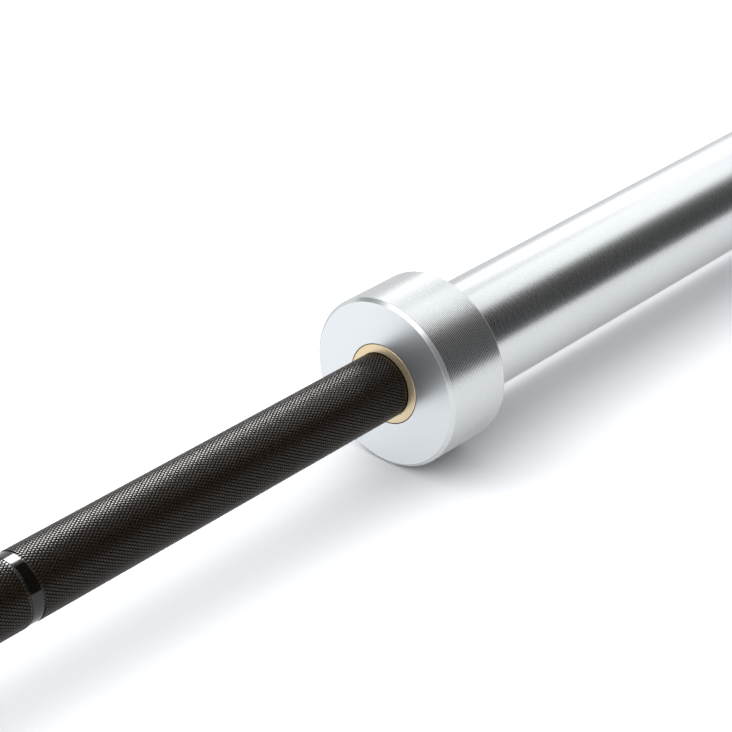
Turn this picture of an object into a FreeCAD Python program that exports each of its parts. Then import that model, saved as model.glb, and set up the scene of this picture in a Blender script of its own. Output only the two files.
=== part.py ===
import FreeCAD, Part
import os
import Sketcher

# Olympic barbell, men's competition size. The bar lies along X with its middle at the origin, +Z up, in
# millimetres. Every sleeve piece is drawn for the right-hand end and turned half round about Z for the left.

SIZES = {
    # Shaft
    "grip_length": 1310,  # face of one collar to the face of the other
    "shaft_diameter": 28,
    "knurl_root_diameter": 27.6,  # bottom of the knurl's grooves
    "knurl_gap": 2,  # plain shaft between the knurl and the collar's face
    "grip_knurl_length": 445,  # collar's face to the inner end of the grip knurl
    "centre_knurl_length": 120,
    "band_distance": 195,  # collar's face to the smooth mark band
    "band_width": 5,
    "band_diameter": 27.8,
    "journal_diameter": 25,  # stepped end that carries the outer bushing
    "journal_chamfer": 1,
    # Collar
    "collar_diameter": 75,
    "collar_width": 33,
    "collar_chamfer": 1.3,
    "collar_wall": 7,  # front wall, which the inner bushing passes through
    "relief_diameter": 52,  # shallow recess round the sleeve, so that a plate seats flat on the rear face
    "relief_depth": 0.8,
    "edge_break": 0.3,
    # Sleeve
    "sleeve_diameter": 50,
    "sleeve_length": 412,  # room for plates, from the collar to the end
    "sleeve_bore": 32,
    "sleeve_chamfer": 2,
    "spigot_diameter": 46,  # reduced end that is pressed into the collar
    "spigot_gap": 0.2,  # left at the bottom of the collar's counterbore
    # Bushings
    "bushing_diameter": 35,
    "bushing_proud": 0.5,  # how far the inner bushing stands out of the collar's face
    "bushing_chamfer": 0.3,
    "inner_bushing_length": 60,
    "outer_bushing_length": 30,
    "running_clearance": 0.05,  # all round the shaft in a bushing
    "seat_gap": 0.5,  # left behind the inner bushing in its seat
    # Thrust washers
    "washer_thickness": 2,
    "washer_clearance": 0.2,  # all round the journal
    "inner_washer_diameter": 31,
    "outer_washer_diameter": 34,
    "end_float": 0.1,  # at each face of each washer
    # Snap ring on the shaft
    "shaft_ring_groove_diameter": 23.9,
    "shaft_ring_thickness": 1.2,
    "shaft_ring_band": 2.4,
    "shaft_ring_lug_reach": 4.4,  # groove's bottom to the tips of the lugs
    "shaft_ring_lug_diameter": 4,
    "shaft_ring_eye": 2,  # hole for the pliers
    "shaft_ring_opening": 3,
    "shaft_ring_setback": 3,  # groove to the end of the shaft
    # End cap with its seal and snap ring
    "cap_bore": 40,
    "cap_thickness": 6,
    "cap_clearance": 0.1,
    "cap_gap": 2,  # between the shaft's end and the cap
    "cap_recess_diameter": 28,
    "cap_recess_depth": 0.8,
    "seal_groove_diameter": 36.6,
    "seal_groove_width": 2.4,
    "cap_ring_groove_diameter": 42.5,
    "cap_ring_thickness": 1.75,
    "cap_ring_band": 3.4,
    "cap_ring_lug_reach": 5.8,
    "cap_ring_lug_diameter": 4.6,
    "cap_ring_eye": 2.5,
    "cap_ring_opening": 6,
    "cap_ring_setback": 2.5,  # ring to the end of the sleeve
    "ring_play": 0.1,  # how much wider a groove is than its ring
    "eye_wall": 1,  # metal between an eye and the ring's opening
}

# Places worked out from the sizes: stations along the bar from its middle, and radii from its axis.
PLACES = {
    "collar_face": "sizes.grip_length / 2",
    "collar_floor": "places.collar_face + sizes.collar_wall",
    "collar_rear": "places.collar_face + sizes.collar_width",
    "collar_front_edge": "places.collar_face + sizes.collar_chamfer",
    "collar_rear_edge": "places.collar_rear - sizes.edge_break",
    "relief_floor": "places.collar_rear - sizes.relief_depth",
    "collar_mouth": "places.collar_face + sizes.edge_break",
    "sleeve_end": "places.collar_rear + sizes.sleeve_length",
    "sleeve_end_edge": "places.sleeve_end - sizes.sleeve_chamfer",
    "sleeve_mouth": "places.sleeve_end - sizes.edge_break",
    "spigot_end": "places.collar_floor + sizes.spigot_gap",
    "spigot_edge": "places.spigot_end + sizes.edge_break",
    "inner_bushing_front": "places.collar_face - sizes.bushing_proud",
    "inner_bushing_edge": "places.inner_bushing_front + sizes.bushing_chamfer",
    "inner_bushing_end": "places.inner_bushing_front + sizes.inner_bushing_length",
    "inner_seat_end": "places.inner_bushing_end + sizes.seat_gap",
    "cap_ring_out": "places.sleeve_end - sizes.cap_ring_setback",
    "cap_ring_in": "places.cap_ring_out - sizes.cap_ring_thickness",
    "cap_groove_out": "places.cap_ring_out + sizes.ring_play",
    "cap_recess_floor": "places.cap_ring_in - sizes.cap_recess_depth",
    "cap_in": "places.cap_ring_in - sizes.cap_thickness",
    "seal_middle": "(places.cap_in + places.cap_ring_in) / 2",
    "seal_groove_in": "places.seal_middle - sizes.seal_groove_width / 2",
    "seal_groove_out": "places.seal_middle + sizes.seal_groove_width / 2",
    "shaft_end": "places.cap_in - sizes.cap_gap",
    "shaft_end_edge": "places.shaft_end - sizes.journal_chamfer",
    "shaft_ring_out": "places.shaft_end - sizes.shaft_ring_setback",
    "shaft_ring_in": "places.shaft_ring_out - sizes.shaft_ring_thickness",
    "shaft_groove_in": "places.shaft_ring_in - sizes.ring_play",
    "outer_washer_out": "places.shaft_ring_in - sizes.end_float",
    "outer_washer_in": "places.outer_washer_out - sizes.washer_thickness",
    "outer_bushing_out": "places.outer_washer_in - sizes.end_float",
    "outer_bushing_edge": "places.outer_bushing_out - sizes.bushing_chamfer",
    "outer_bushing_in": "places.outer_bushing_out - sizes.outer_bushing_length",
    "inner_washer_out": "places.outer_bushing_in - sizes.end_float",
    "inner_washer_in": "places.inner_washer_out - sizes.washer_thickness",
    "shaft_shoulder": "places.inner_washer_in - sizes.end_float",
    "knurl_out": "places.collar_face - sizes.knurl_gap",
    "band_out": "places.collar_face - sizes.band_distance",
    "band_in": "places.band_out - sizes.band_width",
    "knurl_in": "places.collar_face - sizes.grip_knurl_length",
    "centre_knurl_end": "sizes.centre_knurl_length / 2",
    "shaft_radius": "sizes.shaft_diameter / 2",
    "knurl_root": "sizes.knurl_root_diameter / 2",
    "band_radius": "sizes.band_diameter / 2",
    "journal_radius": "sizes.journal_diameter / 2",
    "journal_tip": "places.journal_radius - sizes.journal_chamfer",
    "shaft_groove": "sizes.shaft_ring_groove_diameter / 2",
    "collar_radius": "sizes.collar_diameter / 2",
    "collar_face_radius": "places.collar_radius - sizes.collar_chamfer",
    "collar_rear_radius": "places.collar_radius - sizes.edge_break",
    "relief_radius": "sizes.relief_diameter / 2",
    "spigot_radius": "sizes.spigot_diameter / 2",
    "spigot_tip": "places.spigot_radius - sizes.edge_break",
    "sleeve_radius": "sizes.sleeve_diameter / 2",
    "sleeve_tip": "places.sleeve_radius - sizes.sleeve_chamfer",
    "sleeve_bore_radius": "sizes.sleeve_bore / 2",
    "bushing_radius": "sizes.bushing_diameter / 2",
    "bushing_tip": "places.bushing_radius - sizes.bushing_chamfer",
    "bushing_mouth": "places.bushing_radius + sizes.edge_break",
    "inner_bushing_bore": "places.shaft_radius + sizes.running_clearance",
    "inner_bushing_lip": "places.inner_bushing_bore + sizes.bushing_chamfer",
    "outer_bushing_bore": "places.journal_radius + sizes.running_clearance",
    "washer_bore": "places.journal_radius + sizes.washer_clearance",
    "inner_washer_radius": "sizes.inner_washer_diameter / 2",
    "outer_washer_radius": "sizes.outer_washer_diameter / 2",
    "cap_bore_radius": "sizes.cap_bore / 2",
    "cap_mouth": "places.cap_bore_radius + sizes.edge_break",
    "cap_radius": "places.cap_bore_radius - sizes.cap_clearance",
    "cap_recess_radius": "sizes.cap_recess_diameter / 2",
    "cap_groove": "sizes.cap_ring_groove_diameter / 2",
    "seal_groove": "sizes.seal_groove_diameter / 2",
    "seal_radius": "(places.cap_bore_radius + places.seal_groove) / 2",
    "seal_section": "(places.cap_bore_radius - places.seal_groove) / 2",
    "shaft_ring_outer": "places.shaft_groove + sizes.shaft_ring_band",
    "shaft_lug": "sizes.shaft_ring_lug_diameter / 2",
    "shaft_lug_height": "places.shaft_groove + sizes.shaft_ring_lug_reach - places.shaft_lug",
    "shaft_eye": "sizes.shaft_ring_eye / 2",
    "shaft_half_opening": "sizes.shaft_ring_opening / 2",
    "shaft_lug_side": "places.shaft_half_opening + sizes.eye_wall + places.shaft_eye",
    "shaft_ring_reach": "places.shaft_groove + sizes.shaft_ring_lug_reach + sizes.shaft_ring_band",
    "cap_ring_inner": "places.cap_groove - sizes.cap_ring_band",
    "cap_lug": "sizes.cap_ring_lug_diameter / 2",
    "cap_lug_height": "places.cap_groove - sizes.cap_ring_lug_reach + places.cap_lug",
    "cap_eye": "sizes.cap_ring_eye / 2",
    "cap_half_opening": "sizes.cap_ring_opening / 2",
    "cap_lug_side": "places.cap_half_opening + sizes.eye_wall + places.cap_eye",
    "cap_ring_reach": "places.cap_groove + sizes.cap_ring_band",
}

# Closed outlines of the turned pieces, as (station, radius) corners. "middle" and "axis" are zero.
SHAFT_OUTLINE = [
    ("middle", "axis"),
    ("middle", "knurl_root"),
    ("centre_knurl_end", "knurl_root"),
    ("centre_knurl_end", "shaft_radius"),
    ("knurl_in", "shaft_radius"),
    ("knurl_in", "knurl_root"),
    ("band_in", "knurl_root"),
    ("band_in", "band_radius"),
    ("band_out", "band_radius"),
    ("band_out", "knurl_root"),
    ("knurl_out", "knurl_root"),
    ("knurl_out", "shaft_radius"),
    ("shaft_shoulder", "shaft_radius"),
    ("shaft_shoulder", "journal_radius"),
    ("shaft_groove_in", "journal_radius"),
    ("shaft_groove_in", "shaft_groove"),
    ("shaft_ring_out", "shaft_groove"),
    ("shaft_ring_out", "journal_radius"),
    ("shaft_end_edge", "journal_radius"),
    ("shaft_end", "journal_tip"),
    ("shaft_end", "axis"),
]
COLLAR_OUTLINE = [
    ("collar_face", "bushing_mouth"),
    ("collar_mouth", "bushing_radius"),
    ("collar_floor", "bushing_radius"),
    ("collar_floor", "spigot_radius"),
    ("relief_floor", "spigot_radius"),
    ("relief_floor", "relief_radius"),
    ("collar_rear", "relief_radius"),
    ("collar_rear", "collar_rear_radius"),
    ("collar_rear_edge", "collar_radius"),
    ("collar_front_edge", "collar_radius"),
    ("collar_face", "collar_face_radius"),
]
SLEEVE_OUTLINE = [
    ("spigot_end", "bushing_radius"),
    ("inner_seat_end", "bushing_radius"),
    ("inner_seat_end", "sleeve_bore_radius"),
    ("outer_bushing_in", "sleeve_bore_radius"),
    ("outer_bushing_in", "bushing_radius"),
    ("cap_in", "bushing_radius"),
    ("cap_in", "cap_bore_radius"),
    ("cap_ring_in", "cap_bore_radius"),
    ("cap_ring_in", "cap_groove"),
    ("cap_groove_out", "cap_groove"),
    ("cap_groove_out", "cap_bore_radius"),
    ("sleeve_mouth", "cap_bore_radius"),
    ("sleeve_end", "cap_mouth"),
    ("sleeve_end", "sleeve_tip"),
    ("sleeve_end_edge", "sleeve_radius"),
    ("relief_floor", "sleeve_radius"),
    ("relief_floor", "spigot_radius"),
    ("spigot_edge", "spigot_radius"),
    ("spigot_end", "spigot_tip"),
]
INNER_BUSHING_OUTLINE = [
    ("inner_bushing_front", "inner_bushing_lip"),
    ("inner_bushing_edge", "inner_bushing_bore"),
    ("inner_bushing_end", "inner_bushing_bore"),
    ("inner_bushing_end", "bushing_radius"),
    ("inner_bushing_edge", "bushing_radius"),
    ("inner_bushing_front", "bushing_tip"),
]
OUTER_BUSHING_OUTLINE = [
    ("outer_bushing_in", "outer_bushing_bore"),
    ("outer_bushing_out", "outer_bushing_bore"),
    ("outer_bushing_out", "bushing_tip"),
    ("outer_bushing_edge", "bushing_radius"),
    ("outer_bushing_in", "bushing_radius"),
]
INNER_WASHER_OUTLINE = [
    ("inner_washer_in", "washer_bore"),
    ("inner_washer_out", "washer_bore"),
    ("inner_washer_out", "inner_washer_radius"),
    ("inner_washer_in", "inner_washer_radius"),
]
OUTER_WASHER_OUTLINE = [
    ("outer_washer_in", "washer_bore"),
    ("outer_washer_out", "washer_bore"),
    ("outer_washer_out", "outer_washer_radius"),
    ("outer_washer_in", "outer_washer_radius"),
]
END_CAP_OUTLINE = [
    ("cap_in", "axis"),
    ("cap_in", "cap_radius"),
    ("seal_groove_in", "cap_radius"),
    ("seal_groove_in", "seal_groove"),
    ("seal_groove_out", "seal_groove"),
    ("seal_groove_out", "cap_radius"),
    ("cap_ring_in", "cap_radius"),
    ("cap_ring_in", "cap_recess_radius"),
    ("cap_recess_floor", "cap_recess_radius"),
    ("cap_recess_floor", "axis"),
]

ORIGIN = (-1, 1)  # the sketch's root point
START, END, CENTRE = range(1, 4)  # which point of a line or circle

doc = FreeCAD.newDocument("barbell")
sheet = doc.addObject("Spreadsheet::Sheet", "sizes")
for row, (name, size) in enumerate(SIZES.items(), start=1):
    sheet.set(f"A{row}", name)
    sheet.set(f"B{row}", str(size))
    sheet.setAlias(f"B{row}", name)
doc.recompute()
places = doc.addObject("App::VarSet", "places")
for name, formula in PLACES.items():
    places.addProperty("App::PropertyFloat", name)
    places.setExpression(name, formula)
doc.recompute()


def own_axis(name):
    """Which of a sketch's own axes a zero place lies on: -1 is its horizontal one and -2 its upright one."""
    return {"axis": -1, "middle": -2}.get(name)


def place(name):
    return 0.0 if own_axis(name) else getattr(places, name)


def new_body(label):
    body = doc.addObject("PartDesign::Body", label)
    body.Label = label
    return body


def origin_plane(body, role):
    return next(item for item in body.Origin.OriginFeatures if item.Role == role)


def new_sketch(body, name, role):
    sketch = body.newObject("Sketcher::SketchObject", name)
    sketch.AttachmentSupport = [(origin_plane(body, role), "")]
    sketch.MapMode = "FlatFace"
    return sketch


def dimension(sketch, kind, geometry, name):
    """Add a driving dimension and bind it to a place."""
    index = sketch.addConstraint(Sketcher.Constraint(kind, *geometry, place(name)))
    sketch.setExpression(f"Constraints[{index}]", f"places.{name}")


def locate(sketch, point, across, up):
    """Hold a point of the sketch at a place across and a place up from its root point."""
    for kind, name in (("DistanceX", across), ("DistanceY", up)):
        if own_axis(name):
            sketch.addConstraint(Sketcher.Constraint("PointOnObject", *point, own_axis(name)))
        else:
            dimension(sketch, kind, (*ORIGIN, *point), name)


def draw_outline(sketch, outline):
    corners = [FreeCAD.Vector(place(across), place(up), 0) for across, up in outline]
    for near, far in zip(corners, corners[1:] + corners[:1]):
        sketch.addGeometry(Part.LineSegment(near, far))
    for line, (across, up) in enumerate(outline):
        following = (line + 1) % len(outline)
        sketch.addConstraint(Sketcher.Constraint("Coincident", line, END, following, START))
        locate(sketch, (line, START), across, up)


def draw_circle(sketch, across, up, radius, mirrored=False):
    """Draw a circle; a mirrored one lies as far to the other side of the upright axis."""
    side = -1 if mirrored else 1
    centre = FreeCAD.Vector(side * place(across), place(up), 0)
    circle = sketch.addGeometry(Part.Circle(centre, FreeCAD.Vector(0, 0, 1), place(radius)))
    dimension(sketch, "Radius", (circle,), radius)
    if mirrored:
        dimension(sketch, "DistanceX", (circle, CENTRE, *ORIGIN), across)
        dimension(sketch, "DistanceY", (*ORIGIN, circle, CENTRE), up)
    else:
        locate(sketch, (circle, CENTRE), across, up)


def spin(body, sketch):
    turn = body.newObject("PartDesign::Revolution", f"{body.Label}_turn")
    turn.Profile = sketch
    turn.ReferenceAxis = (sketch, ["H_Axis"])
    turn.Angle = 360
    sketch.Visibility = False
    return turn


def turned(label, outline):
    """A lathe-turned piece: its outline spun about the bar's axis."""
    body = new_body(label)
    sketch = new_sketch(body, f"{label}_outline", "XY_Plane")
    draw_outline(sketch, outline)
    spin(body, sketch)
    return body


def turned_shaft():
    """The shaft: one half is turned and mirrored about the bar's middle."""
    body = turned("shaft", SHAFT_OUTLINE)
    mirror = body.newObject("PartDesign::Mirrored", "shaft_mirror")
    mirror.Originals = [body.Tip]
    mirror.MirrorPlane = (origin_plane(body, "YZ_Plane"), [""])
    mirror.Refine = True
    body.Tip = mirror
    return body


def seal(label):
    """The O-ring, a round section that fills the height between its groove and the sleeve's bore."""
    body = new_body(label)
    sketch = new_sketch(body, f"{label}_section", "XY_Plane")
    draw_circle(sketch, "seal_middle", "seal_radius", "seal_section")
    spin(body, sketch)
    return body


def cross_section(body, name, station):
    """A sketch square to the bar at a station, seen along the bar."""
    sketch = new_sketch(body, f"{body.Label}_{name}", "YZ_Plane")
    sketch.setExpression("AttachmentOffset.Base.z", f"places.{station}")
    return sketch


def thicken(body, kind, sketch, thickness):
    feature = body.newObject(kind, f"{sketch.Label}_depth")
    feature.Profile = sketch
    feature.setExpression("Length", f"sizes.{thickness}")
    feature.Reversed = kind == "PartDesign::Pocket"
    return feature


def snap_ring(label, prefix, inner, outer):
    """A sprung ring: a flat band with two lugs, each with an eye for the pliers, and an opening."""
    body = new_body(label)
    station = f"{prefix}_ring_in"
    thickness = f"{prefix}_ring_thickness"
    side, height = f"{prefix}_lug_side", f"{prefix}_lug_height"

    band = cross_section(body, "band", station)
    draw_circle(band, "middle", "axis", inner)
    draw_circle(band, "middle", "axis", outer)
    thicken(body, "PartDesign::Pad", band, thickness)

    lugs = cross_section(body, "lugs", station)
    eyes = cross_section(body, "eyes", station)
    for mirrored in (False, True):
        draw_circle(lugs, side, height, f"{prefix}_lug", mirrored)
        draw_circle(eyes, side, height, f"{prefix}_eye", mirrored)
    thicken(body, "PartDesign::Pad", lugs, thickness)
    thicken(body, "PartDesign::Pocket", eyes, thickness)

    opening = cross_section(body, "opening", station)
    draw_opening(opening, f"{prefix}_half_opening", f"{prefix}_ring_reach")
    thicken(body, "PartDesign::Pocket", opening, thickness)
    return body


def draw_opening(sketch, half_width, reach):
    """A slot about the upright axis, from the bar's axis out past the ring."""
    wide, high = place(half_width), place(reach)
    corners = [FreeCAD.Vector(*corner, 0) for corner in ((-wide, 0), (wide, 0), (wide, high), (-wide, high))]
    for near, far in zip(corners, corners[1:] + corners[:1]):
        sketch.addGeometry(Part.LineSegment(near, far))
    bottom, right, top, left = range(4)
    for line, following in ((bottom, right), (right, top), (top, left), (left, bottom)):
        sketch.addConstraint(Sketcher.Constraint("Coincident", line, END, following, START))
    sketch.addConstraint(Sketcher.Constraint("Vertical", left))
    sketch.addConstraint(Sketcher.Constraint("Horizontal", top))
    sketch.addConstraint(Sketcher.Constraint("PointOnObject", left, END, own_axis("axis")))
    locate(sketch, (right, START), half_width, "axis")
    locate(sketch, (top, START), half_width, reach)
    dimension(sketch, "DistanceX", (left, END, *ORIGIN), half_width)


def sleeve_pieces(side):
    """Every piece at one end of the bar, under its node's name."""
    return [
        turned(f"collar_{side}", COLLAR_OUTLINE),
        turned(f"sleeve_{side}", SLEEVE_OUTLINE),
        turned(f"inner_bushing_{side}", INNER_BUSHING_OUTLINE),
        turned(f"outer_bushing_{side}", OUTER_BUSHING_OUTLINE),
        turned(f"inner_thrust_washer_{side}", INNER_WASHER_OUTLINE),
        turned(f"outer_thrust_washer_{side}", OUTER_WASHER_OUTLINE),
        snap_ring(f"shaft_snap_ring_{side}", "shaft", "shaft_groove", "shaft_ring_outer"),
        turned(f"end_cap_{side}", END_CAP_OUTLINE),
        seal(f"cap_seal_{side}"),
        snap_ring(f"cap_snap_ring_{side}", "cap", "cap_ring_inner", "cap_groove"),
    ]


parts = [turned_shaft()]
for side, half_turn in (("right", 0), ("left", 180)):
    for piece in sleeve_pieces(side):
        piece.Placement = FreeCAD.Placement(FreeCAD.Vector(), FreeCAD.Rotation(FreeCAD.Vector(0, 0, 1), half_turn))
        parts.append(piece)
doc.recompute()

for item in doc.Objects:
    if "Invalid" in item.State or "Error" in item.State:
        raise RuntimeError(f"{item.Label} failed to build: {item.State}")
for part in parts:
    if part.Shape.isNull() or not part.Shape.isValid() or len(part.Shape.Solids) != 1:
        raise RuntimeError(f"{part.Label} is not one valid solid")

os.makedirs("parts", exist_ok=True)
for part in parts:
    part.Shape.exportStep(f"parts/{part.Label}.step")
    box = part.Shape.BoundBox
    print(f"{part.Label}: {part.Shape.Volume:.1f} mm3, x {box.XMin:.2f} to {box.XMax:.2f}, "
          f"z {box.ZMin:.2f} to {box.ZMax:.2f}")
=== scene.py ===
# %% [markdown]
# # Dressing an olympic barbell
# The solids of the bar are already built: a 28 mm shaft, and at each end a 50 mm sleeve that spins on
# bronze bushings. This lesson gives them their looks. The first step loads them as a fixed frame, in
# metres, with the bar along X, its middle at the origin and Z up. Their box is kept, and the floor and the
# strips of light under the sleeves are placed by it.

# %% Load the solids
import math

import bpy
from mathutils import Color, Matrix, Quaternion, Vector


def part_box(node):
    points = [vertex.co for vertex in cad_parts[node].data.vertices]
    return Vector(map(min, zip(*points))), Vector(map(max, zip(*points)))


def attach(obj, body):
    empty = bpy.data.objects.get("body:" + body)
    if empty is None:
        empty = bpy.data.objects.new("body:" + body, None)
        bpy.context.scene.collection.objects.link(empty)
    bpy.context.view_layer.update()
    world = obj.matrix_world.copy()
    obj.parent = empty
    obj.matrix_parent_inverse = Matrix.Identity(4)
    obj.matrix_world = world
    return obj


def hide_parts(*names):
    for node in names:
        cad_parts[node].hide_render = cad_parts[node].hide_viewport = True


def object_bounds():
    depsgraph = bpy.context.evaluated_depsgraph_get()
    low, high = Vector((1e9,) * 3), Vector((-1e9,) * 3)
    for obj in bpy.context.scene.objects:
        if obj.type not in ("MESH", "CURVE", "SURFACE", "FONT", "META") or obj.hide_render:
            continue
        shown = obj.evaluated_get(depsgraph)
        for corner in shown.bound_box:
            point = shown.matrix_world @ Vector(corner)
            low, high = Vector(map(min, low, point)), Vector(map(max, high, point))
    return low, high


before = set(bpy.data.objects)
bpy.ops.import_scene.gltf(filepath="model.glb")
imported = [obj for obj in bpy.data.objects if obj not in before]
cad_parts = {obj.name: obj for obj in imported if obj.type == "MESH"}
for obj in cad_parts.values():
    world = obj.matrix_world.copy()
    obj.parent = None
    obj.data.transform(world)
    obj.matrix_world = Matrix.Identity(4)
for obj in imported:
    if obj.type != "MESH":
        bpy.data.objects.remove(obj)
cad_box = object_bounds()
print("solids:", len(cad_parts), "box:", [tuple(round(c, 4) for c in corner) for corner in cad_box])

# %% [markdown]
# ## Camera
# The picture is a close view of the right-hand collar, taken from the lifter's side, above the shaft and
# looking out along the sleeve. A camera can be placed by eye, but here its place, turn and focal length
# come from matching the known diameters of shaft, collar and sleeve to their outlines in a 732 pixel
# square frame.

# %% Place the camera
FRAME_PX = 732
FOCAL_PX = 2273.3
SENSOR_MM = 36
CAMERA_PLACE = (0.0492, -0.5376, 0.4664)
LOOK_DOWN = math.radians(29.486)
TURN_RIGHT = math.radians(47.908)

bpy.ops.object.select_all(action="DESELECT")
bpy.ops.object.camera_add(location=CAMERA_PLACE, rotation=(math.pi / 2 - LOOK_DOWN, 0, -TURN_RIGHT))
camera = bpy.context.object
camera.data.sensor_width = SENSOR_MM
camera.data.lens = SENSOR_MM * FOCAL_PX / FRAME_PX
bpy.context.scene.camera = camera
bpy.context.scene.view_settings.view_transform = "Standard"
print("camera lens:", round(camera.data.lens, 1), "mm")

# %% [markdown]
# ## Colours and nodes
# Colours are written as sRGB hex values, as a paint program shows them. Shaders reckon in linear light,
# so one function converts them. A second small function adds any node: it sets the node's own options,
# then fills each socket with a value, or with a link where it is given another node's output. Three short
# ones stand on it for what is needed most: a sum, a ramp and a blend.

# %% Helpers for materials
BYTE = 255


def linear(hex_colour):
    """The linear RGBA of an sRGB hex colour."""
    channels = [value / BYTE for value in bytes.fromhex(hex_colour)]
    return (*Color(channels).from_srgb_to_scene_linear(), 1.0)


def add(tree, kind, inputs=None, **options):
    """Add a node with its options, and fill its sockets with values or links."""
    node = tree.nodes.new("ShaderNode" + kind)
    for option, value in options.items():
        setattr(node, option, value)
    for socket, value in (inputs or {}).items():
        if isinstance(value, bpy.types.NodeSocket):
            tree.links.new(value, node.inputs[socket])
        else:
            node.inputs[socket].default_value = value
    return node


def reckon(tree, operation, first, second=0.0):
    """One sum of two numbers."""
    return add(tree, "Math", {0: first, 1: second}, operation=operation).outputs[0]


def ramp(tree, value, start, end, low=0.0, high=1.0):
    """A number that runs from low to high while the value runs from start to end."""
    sockets = {"Value": value, "From Min": start, "From Max": end, "To Min": low, "To Max": high}
    return add(tree, "MapRange", sockets).outputs[0]


def blend(tree, factor, first, second, kind="FLOAT"):
    """The first of two numbers or RGBA colours where the factor is 0, and the second where it is 1."""
    return add(tree, "Mix", {"Factor": factor, "A": first, "B": second}, data_type=kind).outputs["Result"]


PAPER = "F6F6F8"
print("white paper", PAPER, "is", [round(value, 3) for value in linear(PAPER)], "in linear light")

# %% [markdown]
# ## Studio
# The bar lies on its two collars on a seamless sheet of white paper. The paper is a plain diffuse white,
# which takes the bar's shadow. Light Path tells the rays apart that reach it: to the camera it is
# brighter than it really is, as in a picture exposed until the background turns pure white, and mirrors
# see more than half of it as plain white. None of that puts more light on the bar.

# %% Paper floor
FLOOR_SIZE = 80
PAPER_EXPOSED = (1.14, 1.16, 1.20, 1.0)  # linear, and over 1 for the camera only
MIRRORED_WHITE = 0.6

bpy.ops.mesh.primitive_plane_add(size=FLOOR_SIZE, location=(0, 0, cad_box[0].z))
floor = bpy.context.object
floor.name = "floor"
paper = bpy.data.materials.new("white_paper")
paper.use_nodes = True
tree = paper.node_tree
tree.nodes.clear()
path = add(tree, "LightPath").outputs
shade = blend(tree, path["Is Camera Ray"], linear(PAPER), PAPER_EXPOSED, "RGBA")
matt = add(tree, "BsdfDiffuse", {"Color": shade})
white = add(tree, "Emission", {"Color": linear("FFFFFF"), "Strength": 1.0})
mirror = reckon(tree, "MAXIMUM", path["Is Glossy Ray"], path["Is Transmission Ray"])
share = reckon(tree, "MULTIPLY", mirror, MIRRORED_WHITE)
seen = add(tree, "MixShader", {0: share, 1: matt.outputs[0], 2: white.outputs[0]})
add(tree, "OutputMaterial", {"Surface": seen.outputs[0]})
floor.data.materials.append(paper)
print("floor at", round(cad_box[0].z, 4), "m")

# %% [markdown]
# The world behind the paper is white to the camera as well. For the bar it is a room: a soft fill that is
# stronger from behind on the left than from the front, and in mirrors white behind the bar and dark
# behind the camera, as the unlit half of a photographer's studio is. Since it differs from ray to ray it
# is not sampled like a lamp: each ray that ends there asks for its own answer.

# %% White world
FILL_FRONT = 0.65
FILL_BACK = 1.5
FILL_TURN = 0.3
FILL_SIDE = (-0.643, 0.766, 0.0)
ROOM_LEFT = 0.18
ROOM_RIGHT = 0.03
ROOM_TURN = (-0.4, 0.2)
ROOM_WHITE = 1.0
ROOM_EDGE = (-0.30, -0.21)

world = bpy.data.worlds.new("white_studio")
bpy.context.scene.world = world
world.use_nodes = True
world.cycles.sampling_method = "NONE"
tree = world.node_tree
tree.nodes.clear()
path = add(tree, "LightPath").outputs
towards = add(tree, "TexCoord").outputs["Generated"]
split = add(tree, "SeparateXYZ", {0: towards}).outputs
behind = add(tree, "VectorMath", {0: towards, 1: FILL_SIDE}, operation="DOT_PRODUCT").outputs["Value"]
fill = ramp(tree, behind, -FILL_TURN, FILL_TURN, FILL_FRONT, FILL_BACK)
unlit = ramp(tree, split["X"], *ROOM_TURN, ROOM_LEFT, ROOM_RIGHT)
room = ramp(tree, split["Y"], *ROOM_EDGE, unlit, ROOM_WHITE)
around = blend(tree, path["Is Glossy Ray"], fill, room)
direct = reckon(tree, "MAXIMUM", path["Is Camera Ray"], path["Is Transmission Ray"])
strength = blend(tree, direct, around, ROOM_WHITE)
sky = add(tree, "Background", {"Color": linear("FFFFFF"), "Strength": strength})
add(tree, "OutputWorld", {"Surface": sky.outputs[0]})
print("fill from the front:", FILL_FRONT, "and from behind:", FILL_BACK)

# %% [markdown]
# ## Lamps
# The lamps stand behind the bar and above it, so that shadows fall towards the viewer. A wide sun from
# above lights all 2.2 m of the bar alike. Metal shows the lamps themselves, so each softbox is given as
# it looks: its place, what it faces, its size, its roll and how brightly its cloth glows, and its power
# follows from these. The grip box and shoulder box are the sheen on the black shaft, the ring strip picks
# out the rings on the collars, sleeve box and far box are the long highlights on the sleeve, and the left
# box is the bright arc on the collar's chamfer. Polished metal would also throw spots of light back on
# the paper. They wash out the shadow and come out grainy, so these caustics are switched off.

# %% Sun and softboxes
SUN_HEIGHT = math.radians(50)
SUN_TURN = math.radians(130)
SUN_WIDTH = math.radians(32)
SUN_STRENGTH = 0.4
SOFTBOXES = {
    "grip_box": {"place": (1.15, 0.663, 0.765), "aim": (1.15, 0, 0), "size": (0.52, 0.52), "glow": 23},
    "shoulder_box": {"place": (1.80, -0.08, 1.07), "aim": (0.62, -0.08, 0), "size": (1.2, 0.55), "glow": 3.2},
    "ring_strip": {"place": (1.19, 0.28, 1.05), "aim": (0.67, 0.28, 0), "size": (1.04, 0.3), "glow": 0.7},
    "sleeve_box": {"place": (2.29, 1.05, 0.68), "aim": (0.72, 0, 0), "size": (0.90, 0.80), "glow": 1.15},
    "far_box": {"place": (2.65, 0.16, 1.69), "aim": (0.80, 0, 0), "size": (1.30, 0.80), "glow": 0.6},
    "left_box": {"place": (-0.78, 0.39, 1.34), "aim": (0.66, 0, 0), "size": (1.60, 0.55), "glow": 1.6},
}
ROLL = {"grip_box": math.radians(45)}

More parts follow.
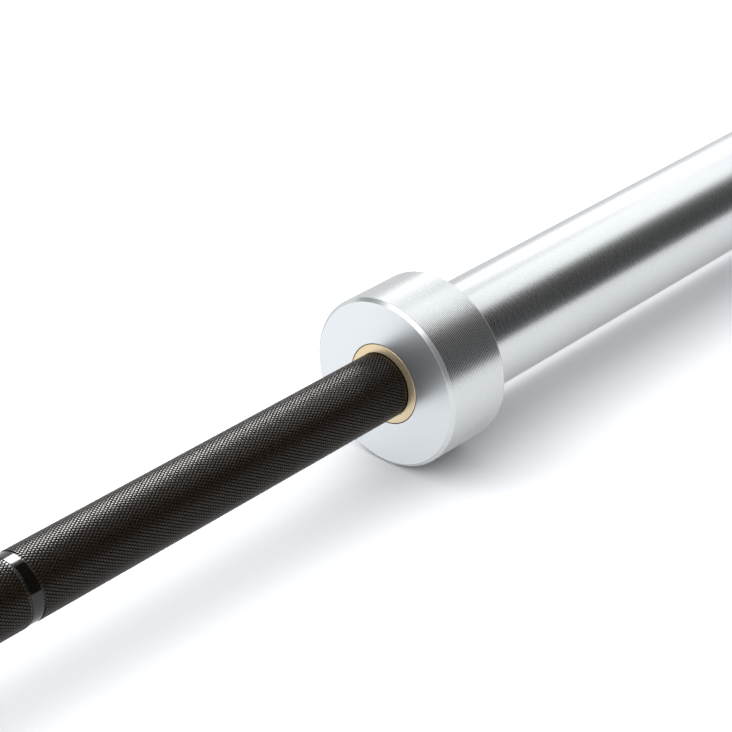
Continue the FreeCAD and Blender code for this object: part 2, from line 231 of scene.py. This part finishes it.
bpy.context.scene.cycles.caustics_reflective = False
bpy.ops.object.light_add(type="SUN", rotation=(0, math.pi / 2 - SUN_HEIGHT, SUN_TURN))
sun = bpy.context.object
sun.name = "top_light"
sun.data.energy = SUN_STRENGTH
sun.data.angle = SUN_WIDTH
sun.visible_glossy = False
for name, facts in SOFTBOXES.items():
    away = Vector(facts["place"]) - Vector(facts["aim"])
    roll = Quaternion((0, 0, 1), ROLL.get(name, 0))
    facing = away.to_track_quat("Z", "Y") @ roll
    bpy.ops.object.light_add(type="AREA", location=facts["place"], rotation=facing.to_euler())
    lamp = bpy.context.object
    lamp.name = name
    lamp.data.shape = "RECTANGLE"
    lamp.data.size, lamp.data.size_y = facts["size"]
    lamp.data.energy = facts["glow"] * math.pi * lamp.data.size * lamp.data.size_y
    print(name, round(lamp.data.energy, 2), "W")

# %% [markdown]
# Bright metal shows nothing but its surroundings, so it needs something dark to show as well. A big black
# card over the viewer's shoulder becomes the long dark stripe that makes a round bar look round. A
# smaller grey one behind the bar tones the top of the collar. Both show in mirrors only.

# %% Dark cards
CARDS = {
    "top_card": {"place": (1.25, -1.04, 1.46), "turn": (0, 0, -47.5), "size": (2.6, 1.9), "shade": "30241C"},
    "left_card": {"place": (-0.02, 1.59, 1.0), "turn": (120, 0, 23), "size": (0.9, 0.9), "shade": "909090"},
}

for name, facts in CARDS.items():
    turned = [math.radians(angle) for angle in facts["turn"]]
    bpy.ops.mesh.primitive_plane_add(size=1, location=facts["place"], rotation=turned)
    card = bpy.context.object
    card.name = name
    card.scale = (*facts["size"], 1)
    card.visible_camera = False
    card.visible_diffuse = False
    card.visible_shadow = False
    cloth = bpy.data.materials.new(name)
    cloth.use_nodes = True
    tree = cloth.node_tree
    tree.nodes.clear()
    nap = add(tree, "BsdfDiffuse", {"Color": linear(facts["shade"])})
    add(tree, "OutputMaterial", {"Surface": nap.outputs[0]})
    card.data.materials.append(cloth)
print("cards:", list(CARDS))

# %% [markdown]
# ## Tool marks
# Nearly every surface of the bar was made on a lathe. The tool leaves fine rings round the bar, and
# concentric ones on a face. One coordinate serves both: the distance along X plus the distance from the
# axis, which grows along every cut. Turning leaves even rings, one for each turn of the work. Grinding
# leaves lines of uneven width, and handling leaves short scratches. Most real marks are finer than a
# pixel of the picture, so all of them are drawn coarser here, just wide enough to show.

# %% Patterns of tool marks
MM = 0.001
DETAIL = 2.0


def place_on_bar(tree):
    """The place on the bar, in metres."""
    return add(tree, "TexCoord").outputs["Object"]


def axis_distance(tree):
    """The distance from the bar's axis."""
    split = add(tree, "SeparateXYZ", {0: place_on_bar(tree)}).outputs
    across = add(tree, "CombineXYZ", {"Y": split["Y"], "Z": split["Z"]})
    return add(tree, "VectorMath", {0: across.outputs[0]}, operation="LENGTH").outputs["Value"]


def tool_path(tree):
    """How far the tool has travelled: along the bar on a round surface, and outwards on a face."""
    split = add(tree, "SeparateXYZ", {0: place_on_bar(tree)}).outputs
    station = reckon(tree, "ABSOLUTE", split["X"])
    return reckon(tree, "ADD", station, axis_distance(tree))


def feed_rings(tree, pitch):
    """Even rings, one for each turn of the work past a turning tool."""
    turns = reckon(tree, "MULTIPLY", tool_path(tree), 2 * math.pi / pitch)
    return ramp(tree, reckon(tree, "SINE", turns), -1.0, 1.0)


def ground_lines(tree, pitch):
    """Fine lines of uneven width, as a grinding wheel leaves them."""
    sockets = {"W": tool_path(tree), "Scale": 1 / pitch, "Detail": DETAIL}
    return add(tree, "TexNoise", sockets, noise_dimensions="1D").outputs[0]


def short_scratches(tree, width, length):
    """Fine scratches round the bar, each of them some way long."""
    stretch = (1 / width, 1 / length, 1 / length)
    stretched = add(tree, "VectorMath", {0: place_on_bar(tree), 1: stretch}, operation="MULTIPLY").outputs[0]
    return add(tree, "TexNoise", {"Vector": stretched, "Scale": 1.0, "Detail": DETAIL}).outputs[0]


print("patterns: feed rings, ground lines, short scratches")

# %% [markdown]
# A turned finish puts such a pattern into a metal: a little shade and gloss from ring to ring, softened
# by smudges from handling, and a little relief. The rings stretch highlights across themselves, which is
# what a shader calls anisotropy, here about the bar's axis. Both shades lie in the middle of a noise,
# which mostly runs from 0.3 to 0.7.

# %% A turned finish
SMUDGE_SIZE = 40 * MM
NOISE_RANGE = (0.3, 0.7)
ACROSS_THE_RINGS = 0.25
GRAZED = "D8D8D8"
HALF = 0.5


def new_material(name):
    """A material with an empty node tree that holds one Principled shader."""
    material = bpy.data.materials.new(name)
    material.use_nodes = True
    tree = material.node_tree
    tree.nodes.clear()
    shader = add(tree, "BsdfPrincipled")
    add(tree, "OutputMaterial", {"Surface": shader.outputs[0]})
    return material, tree, shader


def grained(tree, shader, grain, shades, roughness, relief, depth):
    """Shade and gloss that follow a grain, and a surface that follows a relief."""
    shade = add(tree, "ValToRGB", {0: grain})
    for stop, position, colour in zip(shade.color_ramp.elements, NOISE_RANGE, shades):
        stop.position = position
        stop.color = linear(colour)
    bump = add(tree, "Bump", {"Strength": 1.0, "Distance": depth, "Height": relief})
    tree.links.new(shade.outputs[0], shader.inputs["Base Color"])
    tree.links.new(ramp(tree, grain, *NOISE_RANGE, *roughness), shader.inputs["Roughness"])
    tree.links.new(bump.outputs[0], shader.inputs["Normal"])


def turned_finish(tree, shader, rings, relief, shades, roughness, depth, anisotropy, metal=1.0):
    """Tool marks and smudges on a metal."""
    smudge = add(tree, "TexNoise", {"Vector": place_on_bar(tree), "Scale": 1 / SMUDGE_SIZE, "Detail": DETAIL})
    grained(tree, shader, blend(tree, HALF, rings, smudge.outputs[0]), shades, roughness, relief, depth)
    tangent = add(tree, "Tangent", direction_type="RADIAL", axis="X")
    tree.links.new(tangent.outputs[0], shader.inputs["Tangent"])
    shader.inputs["Metallic"].default_value = metal
    shader.inputs["Anisotropic"].default_value = anisotropy
    shader.inputs["Anisotropic Rotation"].default_value = ACROSS_THE_RINGS
    shader.inputs["Specular Tint"].default_value = linear(GRAZED)


print("smudges about", round(SMUDGE_SIZE / MM), "mm wide")

# %% [markdown]
# ## Zinc and bronze
# The sleeves are turned steel with bright zinc on it: a cool, slightly milky mirror, with the feed of the
# tool still showing as fine rings among short scratches. The bushings are plain turned bearing bronze,
# pale gold and a little duller, where the uneven lines of the last cut show.

# %% Finishes of sleeves and bushings
FEED = 0.866 * MM

sleeve_zinc, tree, shader = new_material("bright_zinc_on_ground_steel")
scratches = short_scratches(tree, width=0.8 * MM, length=3 * MM)
rings = blend(tree, HALF, feed_rings(tree, FEED), scratches)
turned_finish(tree, shader, rings=rings, relief=scratches,
              shades=("D6DADC", "DBDFE1"), roughness=(0.26, 0.28),
              depth=0.0016 * MM, anisotropy=0.3, metal=0.97)
bronze, tree, shader = new_material("turned_bearing_bronze")
lines = ground_lines(tree, pitch=0.7 * MM)
turned_finish(tree, shader, rings=lines, relief=lines,
              shades=("E4CCA0", "F3E4C4"), roughness=(0.28, 0.36),
              depth=0.025 * MM, anisotropy=0.4, metal=0.9)
print("turned finishes:", sleeve_zinc.name, bronze.name)

# %% [markdown]
# ## Black shaft
# The shaft has a thin black coat. On the ground band it is as glossy as lacquer. On the knurl the coat
# follows every diamond, and rolling leaves it a little duller. Both are nearly black themselves: nearly
# all that the eye gets is the sheen of a clear surface, which is a dielectric with an index of about 1.5.

# %% Black coats
COAT_IOR = 1.5


def black_coat(name, shades, roughness, grain_size, grain_depth):
    """A black coating with a fine grain in its colour, gloss and surface."""
    material, tree, shader = new_material(name)
    sockets = {"Vector": place_on_bar(tree), "Scale": 1 / grain_size, "Detail": DETAIL}
    grain = add(tree, "TexNoise", sockets).outputs[0]
    grained(tree, shader, grain, shades, roughness, grain, grain_depth)
    shader.inputs["IOR"].default_value = COAT_IOR
    return material


knurl_black = black_coat("black_coat_on_rolled_knurl", shades=("1A130C", "251A11"), roughness=(0.26, 0.34),
                         grain_size=0.5 * MM, grain_depth=0.004 * MM)
ground_black = black_coat("black_coat_on_ground_steel", shades=("0A0908", "0E0D0C"), roughness=(0.08, 0.12),
                          grain_size=2 * MM, grain_depth=0.0002 * MM)
print("black coats:", knurl_black.name, ground_black.name)

# %% [markdown]
# ## Small fittings
# What shows only at the sleeve's end, or not at all, still gets its own finish: clear anodised aluminium
# for the end cap, a soft silver; oiled spring steel for the snap rings, nearly grey-black; hardened and
# ground steel for the thrust washers, a plain bright grey; and nitrile rubber for the cap's seal, a dull
# black.

# %% Finishes of the fittings
anodised, tree, shader = new_material("clear_anodised_turned_aluminium")
lines = ground_lines(tree, pitch=0.7 * MM)
turned_finish(tree, shader, rings=lines, relief=lines,
              shades=("B9BBBE", "C8CACC"), roughness=(0.34, 0.42), depth=0.004 * MM, anisotropy=0.5)
spring_steel, tree, shader = new_material("oiled_spring_steel")
lines = ground_lines(tree, pitch=0.9 * MM)
turned_finish(tree, shader, rings=lines, relief=lines,
              shades=("4A4A4C", "5C5B5A"), roughness=(0.30, 0.42), depth=0.003 * MM, anisotropy=0.2)
washer_steel, tree, shader = new_material("hardened_ground_steel")
lines = ground_lines(tree, pitch=0.5 * MM)
turned_finish(tree, shader, rings=lines, relief=lines,
              shades=("8E8F91", "A2A3A5"), roughness=(0.26, 0.36), depth=0.003 * MM, anisotropy=0.4)
nitrile = black_coat("nitrile_rubber", shades=("141414", "1E1E1E"), roughness=(0.55, 0.7),
                     grain_size=0.8 * MM, grain_depth=0.02 * MM)
print("fittings:", anodised.name, spring_steel.name, washer_steel.name, nitrile.name)

# %% [markdown]
# Each solid already carries the name of its material slot, so one table sends every slot to its finish.

# %% Finish the solids
FINISHES = {
    "bright_steel": sleeve_zinc,
    "bushing_bronze": bronze,
    "black_shaft": ground_black,
    "cap_aluminium": anodised,
    "spring_steel": spring_steel,
    "washer_steel": washer_steel,
    "seal_rubber": nitrile,
}
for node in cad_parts.values():
    for place in node.material_slots:
        place.material = FINISHES[place.material.name.split(".")[0]]
print("finished solids:", len(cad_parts))

# %% [markdown]
# ## Shaft
# The shaft is one bar of steel, but its surface changes along its length: knurled grips, a smooth mark
# band in each, smooth runs, and turned ends inside the sleeves. It is made here as short solid rods that
# meet end to end, because each stretch is a different job: the smooth ones are turned, and the grips are
# rolled. All of it is worked out from the collar's face and the lengths that a competition bar has.

# %% Stations along the shaft
COLLAR_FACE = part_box("collar_right")[0].x
SHAFT_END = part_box("shaft")[1].x
KNURL_OUT = COLLAR_FACE - 1.0 * MM
BAND_OUT = COLLAR_FACE - 195 * MM
BAND_IN = BAND_OUT - 5 * MM
KNURL_IN = COLLAR_FACE - 445 * MM
CENTRE_KNURL = 60 * MM
SHAFT_RADIUS = 14 * MM
KNURL_ROOT = 13.66 * MM
BAND_RADIUS = 13.9 * MM
print("knurl from", round(KNURL_IN, 4), "to", round(KNURL_OUT, 4), "m, band at", round(BAND_IN, 4))

# %% [markdown]
# A lathe piece starts as a disc that stands square to the bar. Extruding the disc along X and scaling it
# draws one step of the outline at a time, so a shoulder is an extrusion of no length. A screw modifier on
# a drawn profile would do as well, but extruding keeps the piece closed at both ends all the way.

# %% A lathe for rods
LATHE_SIDES = 128
SHARP_EDGE = math.radians(30)


def turn(name, corners):
    """Turn a solid rod through (station, radius) corners."""
    (station, radius), *others = corners
    bpy.ops.object.select_all(action="DESELECT")
    bpy.ops.mesh.primitive_circle_add(vertices=LATHE_SIDES, radius=radius, fill_type="NGON",
                                      location=(station, 0, 0), rotation=(0, math.pi / 2, 0))
    rod = bpy.context.object
    rod.name = name
    bpy.ops.object.transform_apply()
    bpy.ops.object.mode_set(mode="EDIT")
    bpy.ops.mesh.select_all(action="SELECT")
    for next_station, next_radius in others:
        bpy.ops.mesh.extrude_region_move(TRANSFORM_OT_translate={"value": (next_station - station, 0, 0)})
        growth = next_radius / radius
        bpy.ops.transform.resize(value=(1, growth, growth), center_override=(next_station, 0, 0))
        station, radius = next_station, next_radius
    bpy.ops.mesh.select_all(action="SELECT")
    bpy.ops.mesh.normals_make_consistent(inside=False)
    bpy.ops.object.mode_set(mode="OBJECT")
    bpy.ops.object.shade_smooth_by_angle(angle=SHARP_EDGE)
    print(rod.name, len(rod.data.polygons), "faces")
    return rod


# %% [markdown]
# Three rods of the right-hand half are turned: the smooth run beside the centre knurl, the mark band that
# shows a lifter where to hold, and the end inside the sleeve, with its journal and the groove of its snap
# ring. Every outer edge is broken with a small chamfer, which on the band shows as a thin line of light.

# %% Turn the smooth stretches
EDGE = 0.3 * MM
BAND_EDGE = 0.15 * MM
JOURNAL = 12.5 * MM
RING_GROOVE = 11.95 * MM
END_CHAMFER = 1 * MM
WASHER_PLAY = 0.1 * MM
ring_in, ring_out = (corner.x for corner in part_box("shaft_snap_ring_right"))
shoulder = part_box("inner_thrust_washer_right")[0].x - WASHER_PLAY

smooth_run = turn("smooth_run_right", [
    (CENTRE_KNURL, SHAFT_RADIUS - EDGE), (CENTRE_KNURL + EDGE, SHAFT_RADIUS),
    (KNURL_IN - EDGE, SHAFT_RADIUS), (KNURL_IN, SHAFT_RADIUS - EDGE)])
mark_band = turn("mark_band_right", [
    (BAND_IN, BAND_RADIUS - BAND_EDGE), (BAND_IN + BAND_EDGE, BAND_RADIUS),
    (BAND_OUT - BAND_EDGE, BAND_RADIUS), (BAND_OUT, BAND_RADIUS - BAND_EDGE)])
shaft_end = turn("shaft_end_right", [
    (KNURL_OUT, KNURL_ROOT), (COLLAR_FACE, KNURL_ROOT), (COLLAR_FACE, SHAFT_RADIUS),
    (shoulder, SHAFT_RADIUS), (shoulder, JOURNAL),
    (ring_in, JOURNAL), (ring_in, RING_GROOVE), (ring_out, RING_GROOVE), (ring_out, JOURNAL),
    (SHAFT_END - END_CHAMFER, JOURNAL), (SHAFT_END, JOURNAL - END_CHAMFER)])
smooth_run.data.materials.append(ground_black)
mark_band.data.materials.append(ground_black)
shaft_end.data.materials.append(knurl_black)
print("band radius:", round(BAND_RADIUS / MM, 2), "mm, shoulder at", round(shoulder, 4), "m")

# %% [markdown]
# The knurl is what hands hold. Two wheels roll left and right handed grooves into the shaft, and the
# metal between the grooves stands up in blunt diamonds. The rolled net could be a bump in the material,
# but here it is real: a tube of small squares is drawn out, un-subdivide turns the squares into diamonds,
# and an inset of each diamond with some height raises its steep flanks. A poke then draws the middle of
# each top up a little, so that the tips are low crowns and catch the light one by one.

# %% Roll the knurl
DIAMONDS_AROUND = 61
DIAMOND_LENGTH = 2.44 * MM
FLANK = 0.28 * MM
SHOULDER = 0.44 * MM
TIP = 0.085 * MM
DOME = math.radians(40)


def roll_knurl(name, first, last):
    """Roll a knurled solid rod between two stations."""
    rows = 2 * round((last - first) / DIAMOND_LENGTH)
    row = (last - first) / rows
    bpy.ops.object.select_all(action="DESELECT")
    bpy.ops.mesh.primitive_circle_add(vertices=2 * DIAMONDS_AROUND, radius=KNURL_ROOT,
                                      location=(first, 0, 0), rotation=(0, math.pi / 2, 0))
    rod = bpy.context.object
    rod.name = name
    bpy.ops.object.transform_apply()
    bpy.ops.object.mode_set(mode="EDIT")
    bpy.ops.mesh.select_all(action="SELECT")
    bpy.ops.mesh.extrude_region_move(TRANSFORM_OT_translate={"value": (row, 0, 0)})
    bpy.ops.object.mode_set(mode="OBJECT")
    array = rod.modifiers.new("rows", "ARRAY")
    array.count = rows
    array.use_relative_offset = False
    array.use_constant_offset = True
    array.constant_offset_displace = (row, 0, 0)
    array.use_merge_vertices = True
    array.merge_threshold = row / rows
    bpy.ops.object.modifier_apply(modifier=array.name)
    bpy.ops.object.mode_set(mode="EDIT")
    bpy.ops.mesh.select_all(action="SELECT")
    bpy.ops.mesh.unsubdivide(iterations=1)
    bpy.ops.mesh.select_all(action="SELECT")
    bpy.ops.mesh.fill_holes(sides=0)
    bpy.ops.mesh.select_all(action="SELECT")
    bpy.ops.mesh.normals_make_consistent(inside=False)
    bpy.ops.mesh.select_mode(type="FACE")
    bpy.ops.mesh.select_face_by_sides(number=4, type="EQUAL", extend=False)
    bpy.ops.mesh.inset(thickness=FLANK, depth=SHOULDER, use_individual=True, use_even_offset=True)
    bpy.ops.mesh.poke(offset=TIP)
    bpy.ops.mesh.select_mode(type="VERT")
    bpy.ops.object.mode_set(mode="OBJECT")
    bpy.ops.object.shade_smooth_by_angle(angle=DOME)
    rod.data.materials.append(knurl_black)
    print(rod.name, len(rod.data.polygons), "faces")
    return rod


outer_knurl = roll_knurl("outer_grip_right", BAND_OUT, KNURL_OUT)
inner_knurl = roll_knurl("inner_grip_right", KNURL_IN, BAND_IN)
centre_knurl = roll_knurl("centre_knurl", -CENTRE_KNURL, CENTRE_KNURL)

# %% [markdown]
# ## Collar and bushing
# A ring starts as a circle without a face. It is extruded from corner to corner right round its section,
# back to the first corner, where the two ends are merged. A bevel modifier then takes the sharpness off
# every corner, because on a real lathe part each edge is broken, and that rounding is what catches a thin
# line of light. A weighted normal modifier keeps the flat faces between the roundings flat.

# %% A lathe for rings
ROUND_STEPS = 3


def turn_ring(name, corners, rounding):
    """Turn a ring through (station, radius) corners and round its edges."""
    (station, radius), *others = corners
    bpy.ops.object.select_all(action="DESELECT")
    bpy.ops.mesh.primitive_circle_add(vertices=LATHE_SIDES, radius=radius, location=(station, 0, 0),
                                      rotation=(0, math.pi / 2, 0))
    ring = bpy.context.object
    ring.name = name
    bpy.ops.object.transform_apply()
    bpy.ops.object.mode_set(mode="EDIT")
    bpy.ops.mesh.select_all(action="SELECT")
    for next_station, next_radius in [*others, corners[0]]:
        bpy.ops.mesh.extrude_region_move(TRANSFORM_OT_translate={"value": (next_station - station, 0, 0)})
        growth = next_radius / radius
        bpy.ops.transform.resize(value=(1, growth, growth), center_override=(next_station, 0, 0))
        station, radius = next_station, next_radius
    bpy.ops.mesh.select_all(action="SELECT")
    bpy.ops.mesh.remove_doubles(threshold=rounding / ROUND_STEPS)
    bpy.ops.mesh.normals_make_consistent(inside=False)
    bpy.ops.object.mode_set(mode="OBJECT")
    bevel = ring.modifiers.new("round", "BEVEL")
    bevel.width = rounding
    bevel.segments = ROUND_STEPS
    bevel.limit_method = "ANGLE"
    bevel.angle_limit = SHARP_EDGE
    bpy.ops.object.modifier_apply(modifier=bevel.name)
    bpy.ops.object.shade_smooth_by_angle(angle=SHARP_EDGE)
    flat = ring.modifiers.new("flat faces stay flat", "WEIGHTED_NORMAL")
    flat.keep_sharp = True
    bpy.ops.object.modifier_apply(modifier=flat.name)
    print(ring.name, len(ring.data.polygons), "faces")
    return ring


# %% [markdown]
# The collar is the stop for the plates. Its front edge has a chamfer that shows as a bright arc, and its
# rear edge is rounded. Where the bushing sits in its face a narrow joint is left open. The bushing's face
# stands a little proud of the collar and falls off outwards, so that it takes the light differently all
# the way round.

# %% Turn the collar and the bushing
COLLAR_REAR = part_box("collar_right")[1].x
COLLAR_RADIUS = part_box("collar_right")[1].y
COLLAR_CHAMFER = 1.5 * MM
COLLAR_ROUND = 0.12 * MM
COLLAR_WALL = 7 * MM
SPIGOT_RADIUS = 23 * MM
RELIEF_RADIUS = 26 * MM
RELIEF_DEPTH = 0.8 * MM
REAR_ROUND = 0.7 * MM
REAR_STEPS = 4
JOINT_DEPTH = 0.6 * MM
BUSHING_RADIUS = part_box("inner_bushing_right")[1].y
BUSHING_BORE = SHAFT_RADIUS + 0.05 * MM
BUSHING_CROWN = 0.42 * MM
BUSHING_ROUND = 0.25 * MM
JOINT_RADIUS = BUSHING_RADIUS + 0.3 * MM
FACE_RADIUS = COLLAR_RADIUS - COLLAR_CHAMFER
bushing_front, bushing_end = (corner.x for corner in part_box("inner_bushing_right"))

rear_edge = []
for step in range(REAR_STEPS + 1):
    lean = math.pi / 2 * (1 - step / REAR_STEPS)
    back = REAR_ROUND * (1 - math.sin(lean))
    inward = REAR_ROUND * (1 - math.cos(lean))
    rear_edge.append((COLLAR_REAR - back, COLLAR_RADIUS - inward))
collar = turn_ring("turned_collar_right", [
    (COLLAR_FACE, JOINT_RADIUS), (COLLAR_FACE + JOINT_DEPTH, JOINT_RADIUS),
    (COLLAR_FACE + JOINT_DEPTH, BUSHING_RADIUS), (COLLAR_FACE + COLLAR_WALL, BUSHING_RADIUS),
    (COLLAR_FACE + COLLAR_WALL, SPIGOT_RADIUS), (COLLAR_REAR - RELIEF_DEPTH, SPIGOT_RADIUS),
    (COLLAR_REAR - RELIEF_DEPTH, RELIEF_RADIUS), (COLLAR_REAR, RELIEF_RADIUS), *rear_edge,
    (COLLAR_FACE + COLLAR_CHAMFER, COLLAR_RADIUS), (COLLAR_FACE, FACE_RADIUS)], COLLAR_ROUND)
bushing = turn_ring("turned_bushing_right", [
    (bushing_front, BUSHING_BORE), (bushing_end, BUSHING_BORE),
    (bushing_end, BUSHING_RADIUS), (bushing_front + BUSHING_CROWN, BUSHING_RADIUS)], BUSHING_ROUND)
bushing.data.materials.append(bronze)

# %% [markdown]
# The collar's zinc changes over its surface. Its rim keeps deep feed rings, which sparkle, and the grooves
# between them are drawn darker, partly as painted shade. Its face was cut finer and is a soft, even grey
# mirror. The open joint round the bushing is painted dark brown as painted shade, since the gap lies in
# shade. Each of these is a mask by radius, and wherever a mask is 1 the shader's socket gets another value.

# %% Finish of the collar
MASK_EDGE = 0.1 * MM
RIM_METAL = 0.93
FACE_METAL = 0.94
FACE_ROUGHNESS = 0.33
FACE_SHADE = "E8EDF1"
# painted shade: a dark brown for the open joint round the bushing, where the gap lies in shade
PAINTED_JOINT_SHADE = "5A4426"


def override(tree, shader, socket, mask, value, kind="FLOAT"):
    """Give a socket another value wherever the mask is 1."""
    links = shader.inputs[socket].links
    before = links[0].from_socket if links else shader.inputs[socket].default_value
    tree.links.new(blend(tree, mask, before, value, kind), shader.inputs[socket])


collar_zinc, tree, shader = new_material("bright_zinc_on_turned_steel")
radius = axis_distance(tree)
rim = ramp(tree, radius, COLLAR_RADIUS - MASK_EDGE, COLLAR_RADIUS)
# partly painted shade: the grooves between the rim's feed rings get the darker grey, as they lie in shade
rings = blend(tree, rim, HALF, feed_rings(tree, FEED))
turned_finish(tree, shader, rings=rings, relief=rings, shades=("CBCFD1", "DFE3E4"), roughness=(0.22, 0.28),
              depth=0.022 * MM, anisotropy=0.1, metal=RIM_METAL)
face = ramp(tree, radius, FACE_RADIUS - MASK_EDGE, FACE_RADIUS, 1.0, 0.0)
joint = ramp(tree, radius, JOINT_RADIUS, JOINT_RADIUS + MASK_EDGE, 1.0, 0.0)
override(tree, shader, "Roughness", face, FACE_ROUGHNESS)
override(tree, shader, "Metallic", face, FACE_METAL)
override(tree, shader, "Base Color", face, linear(FACE_SHADE), "RGBA")
# painted shade in the joint round the bushing
override(tree, shader, "Base Color", joint, linear(PAINTED_JOINT_SHADE), "RGBA")
collar.data.materials.append(collar_zinc)
print("collar finish:", collar_zinc.name)

# %% [markdown]
# ## Left half
# The left half of the bar is the right half turned half round about Z. Each copy keeps a mesh of its own,
# with the turn applied to it. Every rod rides with the shaft, and the rings ride with their sleeves. Each
# piece stands for the plain solid that it dresses.

# %% Copy to the left and ride along
def copy_to_left(piece):
    """A turned copy of a right-hand piece, with its own mesh."""
    bpy.ops.object.select_all(action="DESELECT")
    piece.select_set(True)
    bpy.context.view_layer.objects.active = piece
    bpy.ops.object.duplicate()
    twin = bpy.context.object
    twin.name = piece.name.replace("right", "left")
    twin.rotation_euler.z = math.pi
    bpy.ops.object.transform_apply()
    return twin


right_rods = [smooth_run, mark_band, shaft_end, outer_knurl, inner_knurl]
left_rods = [copy_to_left(rod) for rod in right_rods]
rods = [*right_rods, *left_rods, centre_knurl]
for rod in rods:
    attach(rod, "shaft")
    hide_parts("shaft")

collars = {"right": collar, "left": copy_to_left(collar)}
bushings = {"right": bushing, "left": copy_to_left(bushing)}
for side in ("right", "left"):
    for ring in (collars[side], bushings[side]):
        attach(ring, "sleeve_" + side)
    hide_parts("collar_" + side)
    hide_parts("inner_bushing_" + side)
print("rods of the shaft:", len(rods), "rings:", len(collars) + len(bushings))

# %% [markdown]
# ## Flags
# The lamps for the black shaft are far brighter than zinc can bear, and the ring strip is meant for the
# collars alone. In a studio, black flags between lamp and metal keep such light off. Here light linking
# does it: each lamp lights only the pieces in its collection, and the shaft's lamps give it a sheen
# without warming its black.

# %% Keep three lamps to their pieces
LIT_PIECES = {"grip_box": rods, "shoulder_box": rods, "ring_strip": collars.values()}

for name, pieces in LIT_PIECES.items():
    lit = bpy.data.collections.new("lit_by_" + name)
    for piece in pieces:
        lit.objects.link(piece)
    lamp = bpy.data.objects[name]
    lamp.light_linking.receiver_collection = lit
    lamp.visible_diffuse = False

# %% [markdown]
# The polished sleeves throw a narrow strip of light back on the paper beneath them. That is a caustic,
# and those are switched off, so a thin strip lamp under each sleeve stands in for it. It lights the paper
# alone, and nothing else sees it.

# %% Strips of light under the sleeves
STRIP_WIDTH = 3 * MM
STRIP_HEIGHT = 4.5 * MM
STRIP_BEHIND = 2.5 * MM
STRIP_GLOW = 0.9
strip_length = cad_box[1].x - COLLAR_REAR
strip_middle = (cad_box[1].x + COLLAR_REAR) / 2

lit = bpy.data.collections.new("lit_by_sleeves")
lit.objects.link(floor)
for name, station in {"strip_left": -strip_middle, "strip_right": strip_middle}.items():
    bpy.ops.object.light_add(type="AREA", location=(station, STRIP_BEHIND, cad_box[0].z + STRIP_HEIGHT))
    lamp = bpy.context.object
    lamp.name = name
    lamp.data.shape = "RECTANGLE"
    lamp.data.size = strip_length
    lamp.data.size_y = STRIP_WIDTH
    lamp.data.energy = STRIP_GLOW * math.pi * strip_length * STRIP_WIDTH
    lamp.light_linking.receiver_collection = lit
    lamp.visible_camera = False
    lamp.visible_glossy = False
